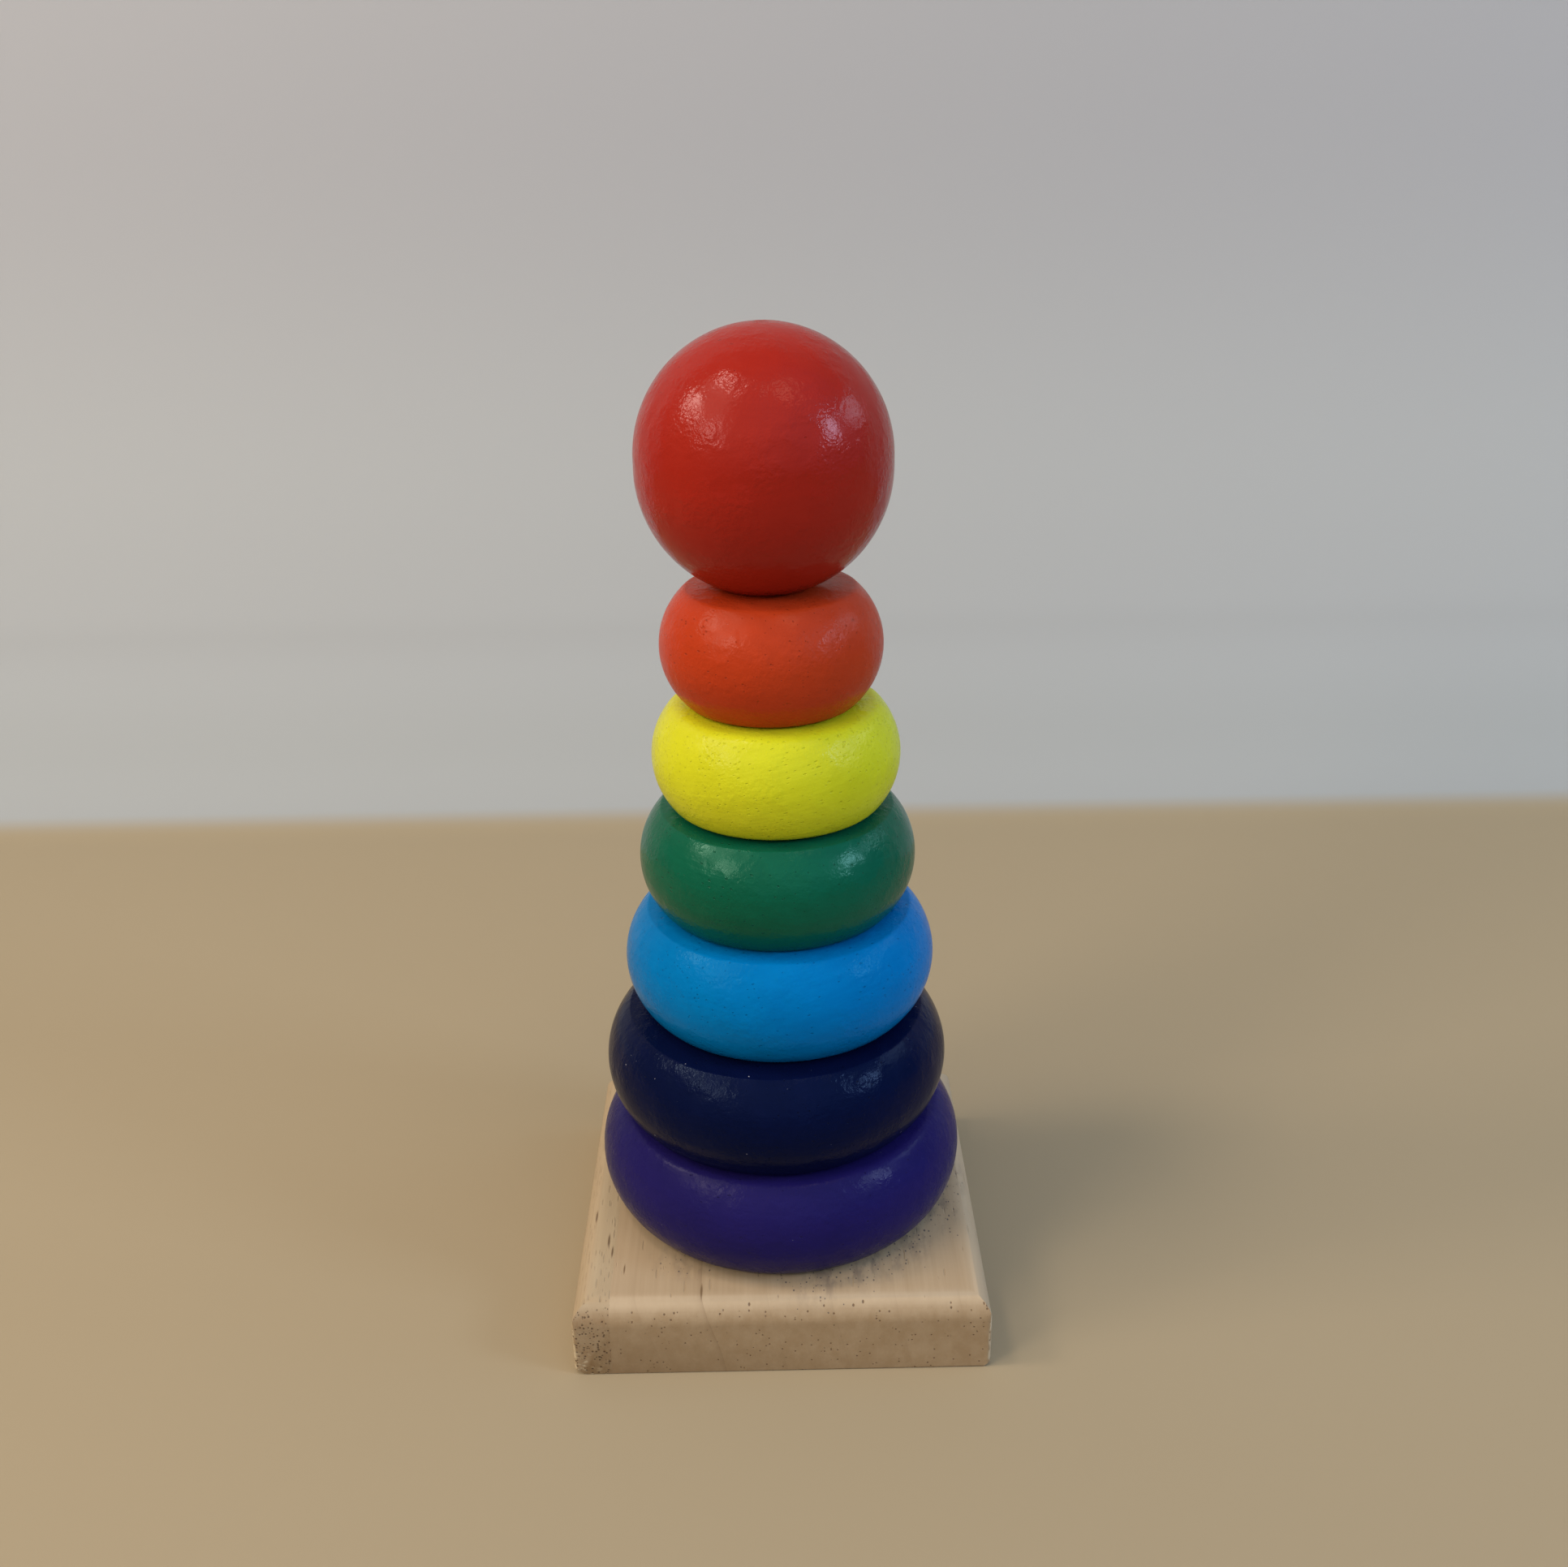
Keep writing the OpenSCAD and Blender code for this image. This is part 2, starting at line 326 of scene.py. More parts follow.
def newMaterial(name):
    material = bpy.data.materials.new(name)
    material.use_nodes = True
    tree = material.node_tree
    return material, tree, tree.nodes["Principled BSDF"]


def objectPlace(tree):
    return addNode(tree, "ShaderNodeTexCoord").outputs["Object"]


def placed(tree, shift, turn=(0, 0, 0)):  # Object coordinates, moved and turned for this piece
    return addNode(tree, "ShaderNodeMapping", {
        "Vector": objectPlace(tree), "Location": shift,
        "Rotation": [math.radians(angle) for angle in turn]}).outputs[0]


def useGroup(tree, group, inputs):
    return addNode(tree, "ShaderNodeGroup", inputs, node_tree=group).outputs


paintFilm = {"bump": 0.1 * mm, "ior": 1.46}


def satinPaint(name, look):
    material, tree, shader = newMaterial(name)
    place = placed(tree, look["shift"], (0, look["grainLean"], look["grainTurn"]))
    skin = useGroup(tree, paintSkin, {
        "Vector": place, "Pores": look["pores"], "Peel": look["peel"], "Turning": look["turning"]})
    colour = mixColour(tree, skin["Mottle"], srgb(*look["deep"]), srgb(*look["paint"]))
    poreTone = srgb(*look["poreTone"])
    colour = mixColour(tree, product(tree, skin["Pore"], look["poreDepth"]), colour, poreTone)
    colour = mixColour(tree, product(tree, skin["Mark"], look["marks"]), colour, poreTone)
    if look["dust"] > 0:
        dust = useGroup(tree, dustSpecks, {"Vector": place, "Share": look["dust"]})
        colour = mixColour(tree, dust["Speck"], colour, srgb(*dustLook["tone"]))
    bump = addNode(tree, "ShaderNodeBump", {
        "Height": skin["Height"], "Distance": paintFilm["bump"], "Strength": 1.0})
    feed(tree, shader.inputs["Base Color"], colour)
    feed(tree, shader.inputs["Roughness"], ramp(tree, skin["Gloss"], 0.0, 1.0, *look["rough"]))
    feed(tree, shader.inputs["Normal"], bump.outputs[0])
    shader.inputs["Specular IOR Level"].default_value = look["shine"]
    shader.inputs["Specular Tint"].default_value = (*look["shineTint"], 1.0)
    shader.inputs["IOR"].default_value = paintFilm["ior"]
    return material


# camera, set to the picture's viewing angle
camera = {
    "focal": 2020.0,  # in pixels of a frame 1932 wide
    "frameWide": 1932.0,
    "sensor": 36.0,
    "nearest": 10 * mm,
    "place": (2.2 * mm, -266.6 * mm, 215.0 * mm),
    "tilt": 23.48,  # degrees below level
    "roll": -0.988,
    "swing": -0.26,  # about the stacker's own axis
}
bpy.ops.object.camera_add()
cameraObject = bpy.context.object
cameraObject.name = "pictureCamera"
cameraObject.data.sensor_width = camera["sensor"]
cameraObject.data.lens = camera["sensor"] * camera["focal"] / camera["frameWide"]
cameraObject.data.clip_start = camera["nearest"]
swing = Matrix.Rotation(math.radians(camera["swing"]), 4, "Z")
tilt = Matrix.Rotation(math.radians(90 - camera["tilt"]), 4, "X")
roll = Matrix.Rotation(math.radians(camera["roll"]), 4, "Z")
cameraObject.matrix_world = swing @ Matrix.Translation(camera["place"]) @ tilt @ roll
bpy.context.scene.camera = cameraObject
bpy.context.scene.view_settings.view_transform = "Standard"


# floor that sweeps up into a backdrop
sweep = {
    "floor": (160, 143, 117),
    # cove: painted shade, a greyer band where the floor curves up; lowWall: painted light, the lower wall
    # made paler than the wall above it
    "cove": (162, 162, 162), "coveFrom": (0.3 * mm, 3 * mm),
    "lowWall": (187, 188, 191), "lowWallFrom": (12 * mm, 60 * mm),
    "wall": (175, 174, 179), "wallFrom": (90 * mm, 210 * mm),
    "half": 1.6,
    "back": 0.19,  # where the sweep starts, behind the stacker
    "curve": 0.05, "curveSteps": 16,
    "rise": 1.2,
    "sink": 0.03 * mm,
    "rough": 0.75, "shine": 0.2,
}
nothingSelected()
bpy.ops.mesh.primitive_plane_add(size=2, location=(0, 0, -sweep["sink"]))
floor = startPiece("floorSweep")
bpy.ops.mesh.select_all(action="SELECT")
bpy.ops.transform.resize(value=(sweep["half"], sweep["half"], 1), center_override=(0, 0, 0))
pick(floor, "EDGE", bothEnds(lambda place: place.y > 0))
bpy.ops.transform.translate(value=(0, sweep["back"] - sweep["half"], 0))
bpy.ops.mesh.spin(steps=sweep["curveSteps"], angle=math.radians(-90), axis=(1, 0, 0),
                  center=(0, sweep["back"], sweep["curve"] - sweep["sink"]))
extrude(0, 0, sweep["rise"])
bpy.ops.object.mode_set(mode="OBJECT")
bpy.ops.object.shade_smooth()
floorMaterial, floorTree, floorShader = newMaterial("sweepPaper")
floorHeight = addNode(floorTree, "ShaderNodeSeparateXYZ", {"Vector": objectPlace(floorTree)}).outputs["Z"]
floorColour = srgb(*sweep["floor"])
# the colour steps with height: painted shade in the cove and painted light low on the wall
for stage in ("cove", "lowWall", "wall"):
    reached = ramp(floorTree, floorHeight, *sweep[stage + "From"])
    floorColour = mixColour(floorTree, reached, floorColour, srgb(*sweep[stage]))
feed(floorTree, floorShader.inputs["Base Color"], floorColour)
floorShader.inputs["Roughness"].default_value = sweep["rough"]
floorShader.inputs["Specular IOR Level"].default_value = sweep["shine"]
# only its inner side shows, so that it hides nothing in views from behind; light still meets both sides
floorBack = addNode(floorTree, "ShaderNodeNewGeometry").outputs["Backfacing"]
floorSeen = addNode(floorTree, "ShaderNodeLightPath").outputs["Is Camera Ray"]
floorSides = addNode(floorTree, "ShaderNodeMixShader", {
    0: maths(floorTree, "MULTIPLY", floorBack, floorSeen),
    1: floorShader.outputs[0],
    2: addNode(floorTree, "ShaderNodeBsdfTransparent").outputs[0]})
feed(floorTree, floorTree.nodes["Material Output"].inputs["Surface"], floorSides.outputs[0])
floor.data.materials.append(floorMaterial)
nothingSelected()


# lamps: warm ones on the left, cool ones on the right, a dim one above
lamps = {
    "leftSoft": {"turn": -66, "rise": 45, "away": 0.75, "size": (0.46, 0.46),
                 "watts": 1.2, "tint": (1.0, 0.89, 0.68)},
    "leftSpotA": {"turn": -74, "rise": 67, "away": 0.80, "size": (0.13, 0.13),
                  "watts": 1.2, "tint": (1.0, 0.86, 0.70)},
    "leftSpotB": {"turn": -83, "rise": 41, "away": 0.80, "size": (0.14, 0.14),
                  "watts": 1.3, "tint": (1.0, 0.86, 0.70)},
    "leftSpotC": {"turn": -50, "rise": 31, "away": 0.80, "size": (0.20, 0.20),
                  "watts": 1.4, "tint": (1.0, 0.86, 0.70)},
    "rightSpot": {"turn": 67, "rise": 27, "away": 0.80, "size": (0.17, 0.15),
                  "watts": 1.6, "tint": (0.64, 0.80, 1.0)},
    "rightLong": {"turn": 100, "rise": 28, "away": 0.80, "size": (0.34, 0.14),
                  "watts": 0.7, "tint": (0.66, 0.84, 1.0)},
    "aboveDim": {"turn": 39, "rise": 67, "away": 0.85, "size": (0.26, 0.14),
                 "watts": 0.5, "tint": (1.0, 0.70, 0.44)},
}
lampTarget = Vector((0, 0, 100 * mm))


def towards(turn, rise):  # a way out from the stacker, in degrees round from the front and up
    turn, rise = math.radians(turn), math.radians(rise)
    return Vector((math.sin(turn) * math.cos(rise), -math.cos(turn) * math.cos(rise), math.sin(rise)))


for lampName, lamp in lamps.items():
    way = towards(lamp["turn"], lamp["rise"])
    bpy.ops.object.light_add(type="AREA", location=lampTarget + way * lamp["away"])
    lampObject = bpy.context.object
    lampObject.name = lampName
    lampObject.rotation_euler = way.to_track_quat("Z", "Y").to_euler()
    lampObject.data.shape = "RECTANGLE"
    lampObject.data.size, lampObject.data.size_y = lamp["size"]
    lampObject.data.energy = lamp["watts"]
    lampObject.data.color = lamp["tint"]

# room light: a broad glow from the front, a warm one from the left and a cool one from the right
roomGlows = {
    "front": {"turn": 0, "rise": 40, "colour": (0.70, 0.70, 0.66)},
    "left": {"turn": -65, "rise": 35, "colour": (0.52, 0.47, 0.29)},
    "right": {"turn": 65, "rise": 35, "colour": (0.15, 0.42, 0.74)},
}
roomDim = (0.045, 0.05, 0.06)
glowFocus = 3.0
world = bpy.data.worlds.new("roomLight")
bpy.context.scene.world = world
world.use_nodes = True
worldTree = world.node_tree
lookWay = addNode(worldTree, "ShaderNodeTexCoord").outputs["Generated"]
roomColour = roomDim
for glow in roomGlows.values():
    facing = vectors(worldTree, "DOT_PRODUCT", lookWay, towards(glow["turn"], glow["rise"]))["Value"]
    strength = maths(worldTree, "POWER", maths(worldTree, "MAXIMUM", facing, 0.0), glowFocus)
    glowColour = addNode(worldTree, "ShaderNodeVectorMath", {
        0: glow["colour"], "Scale": strength}, operation="SCALE").outputs[0]
    roomColour = vectors(worldTree, "ADD", roomColour, glowColour)[0]
feed(worldTree, worldTree.nodes["Background"].inputs["Color"], roomColour)
print("camera, floor and lamps placed")


# the square base: one block, sawn in two at the glue line
baseBlock = {
    "roundOver": 4.4 * mm, "roundSteps": 14,
    "cornerBreak": 0.8 * mm, "cornerLeans": (22.5, 45, 67.5),  # three thin cuts make an upright corner round
    "loopInset": 0.1 * mm,
    "footBreak": 0.25 * mm, "footSteps": 2,
    "knocks": (((-1, -1, -1.3), 1.15 * mm), ((-1, -0.5, -0.8), 0.85 * mm), ((1, -1, -1.1), 0.75 * mm)),
    "socketRadius": 5.1 * mm, "socketDepth": 11.0 * mm, "socketSides": 96,
    "smooth": 40,
}
baseBoard = {
    "node": "base_board", "body": "stand", "slot": "base_wood",
    "light": (178, 154, 126), "dark": (166, 141, 112), "line": (116, 90, 66), "pore": (96, 70, 48),
    "end": (151, 124, 93), "pores": 0.10, "fineness": 1.5, "topPores": 0.10, "streak": (104, 78, 50),
    # edge: the tone of the rounded top edges, painted light where they face the lamps
    "edge": (190, 167, 140), "worn": (200, 180, 152),
    "streaks": ((-14.3 * mm, -33.2 * mm, 0.30 * mm), (-28.6 * mm, -27.0 * mm, 0.22 * mm)),
    "shift": (0.0, 0.0, 0.0),
}
rubbedPaint = {  # specks of paint rubbed off beside the lowest ring
    "tone": (64, 58, 66), "strength": 0.85,
    "inner": (20 * mm, 29 * mm, 0.12, 1.0), "outer": (31 * mm, 39.5 * mm, 1.0, 0.0),
    "rightFrom": (-4 * mm, 10 * mm),
    "leftAt": (-18.4 * mm, -25.6 * mm), "leftReach": (2 * mm, 8 * mm, 0.6, 0.0),
    "topFrom": (3 * mm, 1 * mm),  # below the top
    "dots": (1450, 900, 1450), "dotSize": (0.10, 0.30),
    "smear": (520, 210, 520), "smearFrom": (0.42, 0.68), "smearShare": 0.55,
}
edgeStrip = {
    "node": "base_edge_strip", "body": "stand", "slot": "strip_wood",
    "light": (180, 160, 132), "dark": (168, 146, 118), "line": (120, 96, 74), "pore": (78, 57, 41),
    "end": (141, 112, 81), "pores": 0.80, "fineness": 1.7, "topPores": 0.10, "streak": (88, 64, 42),
    # edge: the tone of the rounded top edges, painted light where they face the lamps
    "edge": (170, 146, 118), "worn": (190, 170, 142),
    "streaks": ((-35.1 * mm, -11.3 * mm, 0.30 * mm), (-32.1 * mm, -18.8 * mm, 0.30 * mm),
                (-31.2 * mm, -22.1 * mm, 0.26 * mm)),
    "shift": (0.031, 0.013, 0.007),
    "chip": (200, 182, 154), "chipReach": (1.5 * mm, 7 * mm, 0.9, 0.0),
    "chipGrain": (800, 800, 1100), "chipFrom": (0.52, 0.66),
}
# real wear, grain and pores by which way a face looks, and painted light on the rounded top edges
woodWearAndEdgeLight = {  # by which way a face looks
    "endFrom": (0.55, 0.98), "blotch": (420, 60, 300), "blotchFrom": (0.3, 0.7, 0.5, 0.9),
    # edgeLight: painted light, a band of the edge tone on the rounded top edges
    "edgeLightFrom": (0.05, 0.40), "edgeLightTo": (0.950, 0.992, 1.0, 0.0), "edgeLight": 0.5,
    "cornerFrom": (0.16, 0.44), "cornerGrain": (900, 900, 420), "cornerRagged": (0.40, 0.62),
    "line": 0.35,
    "poresFrom": (0.15, 0.60), "endPores": 0.8,
    "streakSquash": 0.12, "streakCore": 0.3, "streak": 0.8,
}
woodSurface = {"bump": 0.08 * mm, "bumpStrength": 0.8, "rough": (0.66, 0.54), "shine": 0.3}


def plankWood(name, look):
    material, tree, shader = newMaterial(name)
    place = placed(tree, look["shift"])
    grain = useGroup(tree, plankGrain, {
        "Vector": place, "Pores": look["pores"], "Fineness": look["fineness"]})
    coords = addNode(tree, "ShaderNodeTexCoord")
    facing = addNode(tree, "ShaderNodeSeparateXYZ", {"Vector": coords.outputs["Normal"]}).outputs
    frontOn = maths(tree, "ABSOLUTE", facing["Y"])
    colour = mixColour(tree, grain["Tone"], srgb(*look["dark"]), srgb(*look["light"]))
    # painted light: the rounded top edges take the edge tone, standing in for how the lamps fall on them
    edgeLight = product(tree, ramp(tree, facing["Z"], *woodWearAndEdgeLight["edgeLightFrom"]),
                     ramp(tree, facing["Z"], *woodWearAndEdgeLight["edgeLightTo"]), woodWearAndEdgeLight["edgeLight"])
    colour = mixColour(tree, edgeLight, colour, srgb(*look["edge"]))  # the rounded top edges
    blotch = ramp(tree, longNoise(tree, place, woodWearAndEdgeLight["blotch"], 5.0, 0.65), *woodWearAndEdgeLight["blotchFrom"])
    endGrain = product(tree, ramp(tree, frontOn, *woodWearAndEdgeLight["endFrom"]), blotch)
    colour = mixColour(tree, endGrain, colour, srgb(*look["end"]))
    corner = maths(tree, "ABSOLUTE", product(tree, facing["X"], facing["Y"]))
    ragged = ramp(tree, longNoise(tree, place, woodWearAndEdgeLight["cornerGrain"]), *woodWearAndEdgeLight["cornerRagged"])
    worn = product(tree, ramp(tree, corner, *woodWearAndEdgeLight["cornerFrom"]), ragged)
    colour = mixColour(tree, worn, colour, srgb(*look["worn"]))  # pale where the corners rubbed
    colour = mixColour(tree, product(tree, grain["Line"], woodWearAndEdgeLight["line"]), colour, srgb(*look["line"]))
    poreDepth = ramp(tree, frontOn, *woodWearAndEdgeLight["poresFrom"], look["topPores"], woodWearAndEdgeLight["endPores"])
    colour = mixColour(tree, product(tree, grain["Pore"], poreDepth), colour, srgb(*look["pore"]))
    squash = woodWearAndEdgeLight["streakSquash"]
    flat = stretch(tree, coords.outputs["Object"], (1, squash, 0))  # streaks lie along the grain
    for x, y, half in look["streaks"]:
        away = vectors(tree, "DISTANCE", flat, (x, squash * y, 0))["Value"]
        streak = ramp(tree, away, woodWearAndEdgeLight["streakCore"] * half, half, woodWearAndEdgeLight["streak"], 0.0)
        colour = mixColour(tree, streak, colour, srgb(*look["streak"]))
    return material, tree, shader, grain, colour


def woodFinish(tree, shader, grain, colour):
    bump = addNode(tree, "ShaderNodeBump", {
        "Height": grain["Height"], "Distance": woodSurface["bump"], "Strength": woodSurface["bumpStrength"]})
    feed(tree, shader.inputs["Base Color"], colour)
    feed(tree, shader.inputs["Roughness"], ramp(tree, grain["Tone"], 0.0, 1.0, *woodSurface["rough"]))
    feed(tree, shader.inputs["Normal"], bump.outputs[0])
    shader.inputs["Specular IOR Level"].default_value = woodSurface["shine"]


boardLow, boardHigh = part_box("base_board")
stripLow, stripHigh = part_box("base_edge_strip")
glueLine = boardLow.x
blockLow = Vector((stripLow.x, boardLow.y, boardLow.z))
blockHigh = boardHigh
blockMiddle = (blockLow + blockHigh) / 2
blockSize = blockHigh - blockLow

nothingSelected()
bpy.ops.mesh.primitive_cube_add(size=1, location=blockMiddle, scale=blockSize)
block = startPiece("baseBoard")
pick(block, "EDGE", bothEnds(lambda place: place.z > blockHigh.z - near))
bpy.ops.mesh.bevel(offset=baseBlock["roundOver"], segments=baseBlock["roundSteps"], affect="EDGES")
cornerIn = blockSize.x / 2 - baseBlock["cornerBreak"]
for across in (Vector((1, 0, 0)), Vector((0, 1, 0))):  # loops beside the corners keep the long faces flat
    for side in (-1, 1):
        cutAcross(blockMiddle + across * side * (cornerIn - baseBlock["loopInset"]), across)
for sideX, sideY in ((1, 1), (1, -1), (-1, 1), (-1, -1)):
    cornerCentre = blockMiddle + Vector((sideX * cornerIn, sideY * cornerIn, 0))
    for lean in baseBlock["cornerLeans"]:
        lean = math.radians(lean)
        outward = Vector((sideX * math.cos(lean), sideY * math.sin(lean), 0))
        trimBeyond(cornerCentre + outward * baseBlock["cornerBreak"], outward)
for outward, deep in baseBlock["knocks"]:  # front corners knocked off at the foot
    outward = Vector(outward).normalized()
    corner = Vector((blockHigh.x if outward.x > 0 else blockLow.x, blockLow.y, blockLow.z))
    trimBeyond(corner - outward * deep, outward)
pick(block, "EDGE", bothEnds(lambda place: place.z < blockLow.z + near))
bpy.ops.mesh.bevel(offset=baseBlock["footBreak"], segments=baseBlock["footSteps"], affect="EDGES")
bpy.ops.object.mode_set(mode="OBJECT")
bpy.ops.object.duplicate(linked=False)
strip = bpy.context.object
strip.name = "baseEdgeStrip"
strip.data.name = "baseEdgeStrip"
for half, keepLeft in ((strip, True), (block, False)):
    makeActive(half)
    bpy.ops.object.mode_set(mode="EDIT")
    cutAcross((glueLine, 0, 0), (1, 0, 0), use_fill=True, clear_outer=keepLeft, clear_inner=not keepLeft)
    closeShell()
    bpy.ops.object.mode_set(mode="OBJECT")

# the socket the peg is glued into
pegLow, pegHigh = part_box("peg")
pegX, pegY = (pegLow.x + pegHigh.x) / 2, (pegLow.y + pegHigh.y) / 2
nothingSelected()
bpy.ops.mesh.primitive_cylinder_add(
    vertices=baseBlock["socketSides"], radius=baseBlock["socketRadius"],
    depth=2 * baseBlock["socketDepth"], location=(pegX, pegY, blockHigh.z))
socketCutter = bpy.context.object
makeActive(block)
cut = block.modifiers.new("socket", "BOOLEAN")
cut.object = socketCutter
cut.operation = "DIFFERENCE"
cut.solver = "EXACT"
bpy.ops.object.modifier_apply(modifier="socket")
bpy.data.objects.remove(socketCutter)

boardMaterial, boardTree, boardShader, boardGrain, boardColour = plankWood("paleBaseWood", baseBoard)
boardPlace = objectPlace(boardTree)
boardAxes = addNode(boardTree, "ShaderNodeSeparateXYZ", {"Vector": boardPlace}).outputs
rubOut = vectors(boardTree, "LENGTH", stretch(boardTree, boardPlace, (1, 1, 0)))["Value"]
rubBand = product(boardTree, ramp(boardTree, rubOut, *rubbedPaint["inner"]),
                  ramp(boardTree, rubOut, *rubbedPaint["outer"]))
leftAway = vectors(boardTree, "DISTANCE", boardPlace, (*rubbedPaint["leftAt"], blockHigh.z))["Value"]
rubSides = maths(boardTree, "MAXIMUM", ramp(boardTree, boardAxes["X"], *rubbedPaint["rightFrom"]),
                 ramp(boardTree, leftAway, *rubbedPaint["leftReach"]))
rubTop = ramp(boardTree, boardAxes["Z"], *(blockHigh.z - below for below in rubbedPaint["topFrom"]))
rubShare = product(boardTree, rubBand, rubSides, rubTop)
rubDots = cells(boardTree, stretch(boardTree, boardPlace, rubbedPaint["dots"]),
                rubShare, *rubbedPaint["dotSize"])
rubSmear = ramp(boardTree, longNoise(boardTree, boardPlace, rubbedPaint["smear"], 4.0, 0.6),
                *rubbedPaint["smearFrom"])
rubSmear = product(boardTree, rubShare, rubSmear, rubbedPaint["smearShare"])
rub = product(boardTree, maths(boardTree, "MAXIMUM", rubDots, rubSmear), rubbedPaint["strength"])
boardColour = mixColour(boardTree, rub, boardColour, srgb(*rubbedPaint["tone"]))
woodFinish(boardTree, boardShader, boardGrain, boardColour)

stripMaterial, stripTree, stripShader, stripGrain, stripColour = plankWood("porousStripWood", edgeStrip)
stripPlace = objectPlace(stripTree)
chipAway = vectors(stripTree, "DISTANCE", stripPlace, tuple(blockLow))["Value"]
chipRagged = ramp(stripTree, longNoise(stripTree, stripPlace, edgeStrip["chipGrain"], 3.0),
                  *edgeStrip["chipFrom"])
chipPatch = product(stripTree, ramp(stripTree, chipAway, *edgeStrip["chipReach"]), chipRagged)
stripColour = mixColour(stripTree, chipPatch, stripColour, srgb(*edgeStrip["chip"]))
woodFinish(stripTree, stripShader, stripGrain, stripColour)

for half, look, material in ((strip, edgeStrip, stripMaterial), (block, baseBoard, boardMaterial)):
    makeActive(half)
    finishPiece(half, look, material, baseBlock["smooth"])
print("base and its edge strip made")


# the dowel that the pieces slide on
pegDowel = {
    "node": "peg", "body": "stand", "slot": "peg_wood",
    "light": (196, 172, 138), "dark": (172, 146, 112), "line": (132, 104, 74), "pore": (96, 72, 52),
    "pores": 0.18, "lineDepth": 0.4, "poreDepth": 0.6,
    "shift": (0.011, 0.021, 0.003), "grainTurn": (90, 0, 0),
    "topRound": 2.0 * mm, "topSteps": 6, "footBreak": 0.4 * mm, "sides": 96,
}
nothingSelected()
bpy.ops.mesh.primitive_cylinder_add(
    vertices=pegDowel["sides"], radius=(pegHigh.x - pegLow.x) / 2, depth=pegHigh.z - pegLow.z,
    location=(pegLow + pegHigh) / 2)
peg = startPiece("pegDowel")
pick(peg, "EDGE", bothEnds(lambda place: place.z > pegHigh.z - near))
bpy.ops.mesh.bevel(offset=pegDowel["topRound"], segments=pegDowel["topSteps"], affect="EDGES")
pick(peg, "EDGE", bothEnds(lambda place: place.z < pegLow.z + near))
bpy.ops.mesh.bevel(offset=pegDowel["footBreak"], segments=1, affect="EDGES")
pegMaterial, pegTree, pegShader = newMaterial("dowelWood")
pegGrain = useGroup(pegTree, plankGrain, {
    "Vector": placed(pegTree, pegDowel["shift"], pegDowel["grainTurn"]), "Pores": pegDowel["pores"]})
pegColour = mixColour(pegTree, pegGrain["Tone"], srgb(*pegDowel["dark"]), srgb(*pegDowel["light"]))
for mask, depth, tint in (("Line", "lineDepth", "line"), ("Pore", "poreDepth", "pore")):
    share = product(pegTree, pegGrain[mask], pegDowel[depth])
    pegColour = mixColour(pegTree, share, pegColour, srgb(*pegDowel[tint]))
woodFinish(pegTree, pegShader, pegGrain, pegColour)
finishPiece(peg, pegDowel, pegMaterial)
print("peg made")


# six turned rings: a section drawn round the side, then spun about the ring's own axis
ringSection = {
    "sideRadius": 13.2 * mm,
    "landDrop": 0.35 * mm,
    "landWide": 4.0 * mm,
    "boreRadius": 6.2 * mm,
    "mouthEase": 0.4 * mm,
    "sideSteps": 40,
    "easeSteps": 6,
    "turnSteps": 240,
}
purpleRing = {
    "creaseRound": 2.6 * mm,
    "node": "ring_purple", "body": "purple_ring", "slot": "purple_paint",
    "paint": (32, 25, 88), "deep": (28, 22, 80), "poreTone": (14, 11, 40),
    "rough": (0.2, 0.3), "shine": 0.085, "shineTint": (0.82, 0.82, 1.0),
    "peel": 1.6, "turning": 0.15, "marks": 0.0, "pores": 0.12, "poreDepth": 0.4, "dust": 0.22,
    "grainTurn": 15, "grainLean": 0, "shift": (0.11, 0.02, 0.05),
}
navyRing = {
    "creaseRound": 0.6 * mm,
    "node": "ring_navy", "body": "navy_ring", "slot": "navy_paint",
    "paint": (7, 14, 50), "deep": (5, 11, 43), "poreTone": (3, 5, 20),
    "rough": (0.18, 0.26), "shine": 0.085, "shineTint": (0.42, 0.63, 1.0),
    "peel": 1.7, "turning": 0.2, "marks": 0.0, "pores": 0.15, "poreDepth": 0.4, "dust": 0.34,
    "grainTurn": 70, "grainLean": 0, "shift": (0.21, 0.12, 0.01),
}
lightBlueRing = {
    "creaseRound": 0.9 * mm,
    "node": "ring_light_blue", "body": "light_blue_ring", "slot": "light_blue_paint",
    "paint": (1, 112, 180), "deep": (1, 103, 170), "poreTone": (1, 52, 96),
    "rough": (0.20, 0.28), "shine": 0.065, "shineTint": (0.3, 1.0, 1.0),
    "peel": 1.8, "turning": 0.25, "marks": 0.55, "pores": 0.3, "poreDepth": 0.35, "dust": 0.0,
    "grainTurn": -30, "grainLean": 8, "shift": (0.31, 0.07, 0.09),
}
greenRing = {
    "creaseRound": 0.6 * mm,
    "node": "ring_green", "body": "green_ring", "slot": "green_paint",
    "paint": (8, 88, 65), "deep": (6, 80, 58), "poreTone": (3, 40, 28),
    "rough": (0.2, 0.27), "shine": 0.22, "shineTint": (0.5, 1.0, 0.85),
    "peel": 1.8, "turning": 0.25, "marks": 0.25, "pores": 0.2, "poreDepth": 0.4, "dust": 0.04,
    "grainTurn": 40, "grainLean": -6, "shift": (0.41, 0.17, 0.03),
}
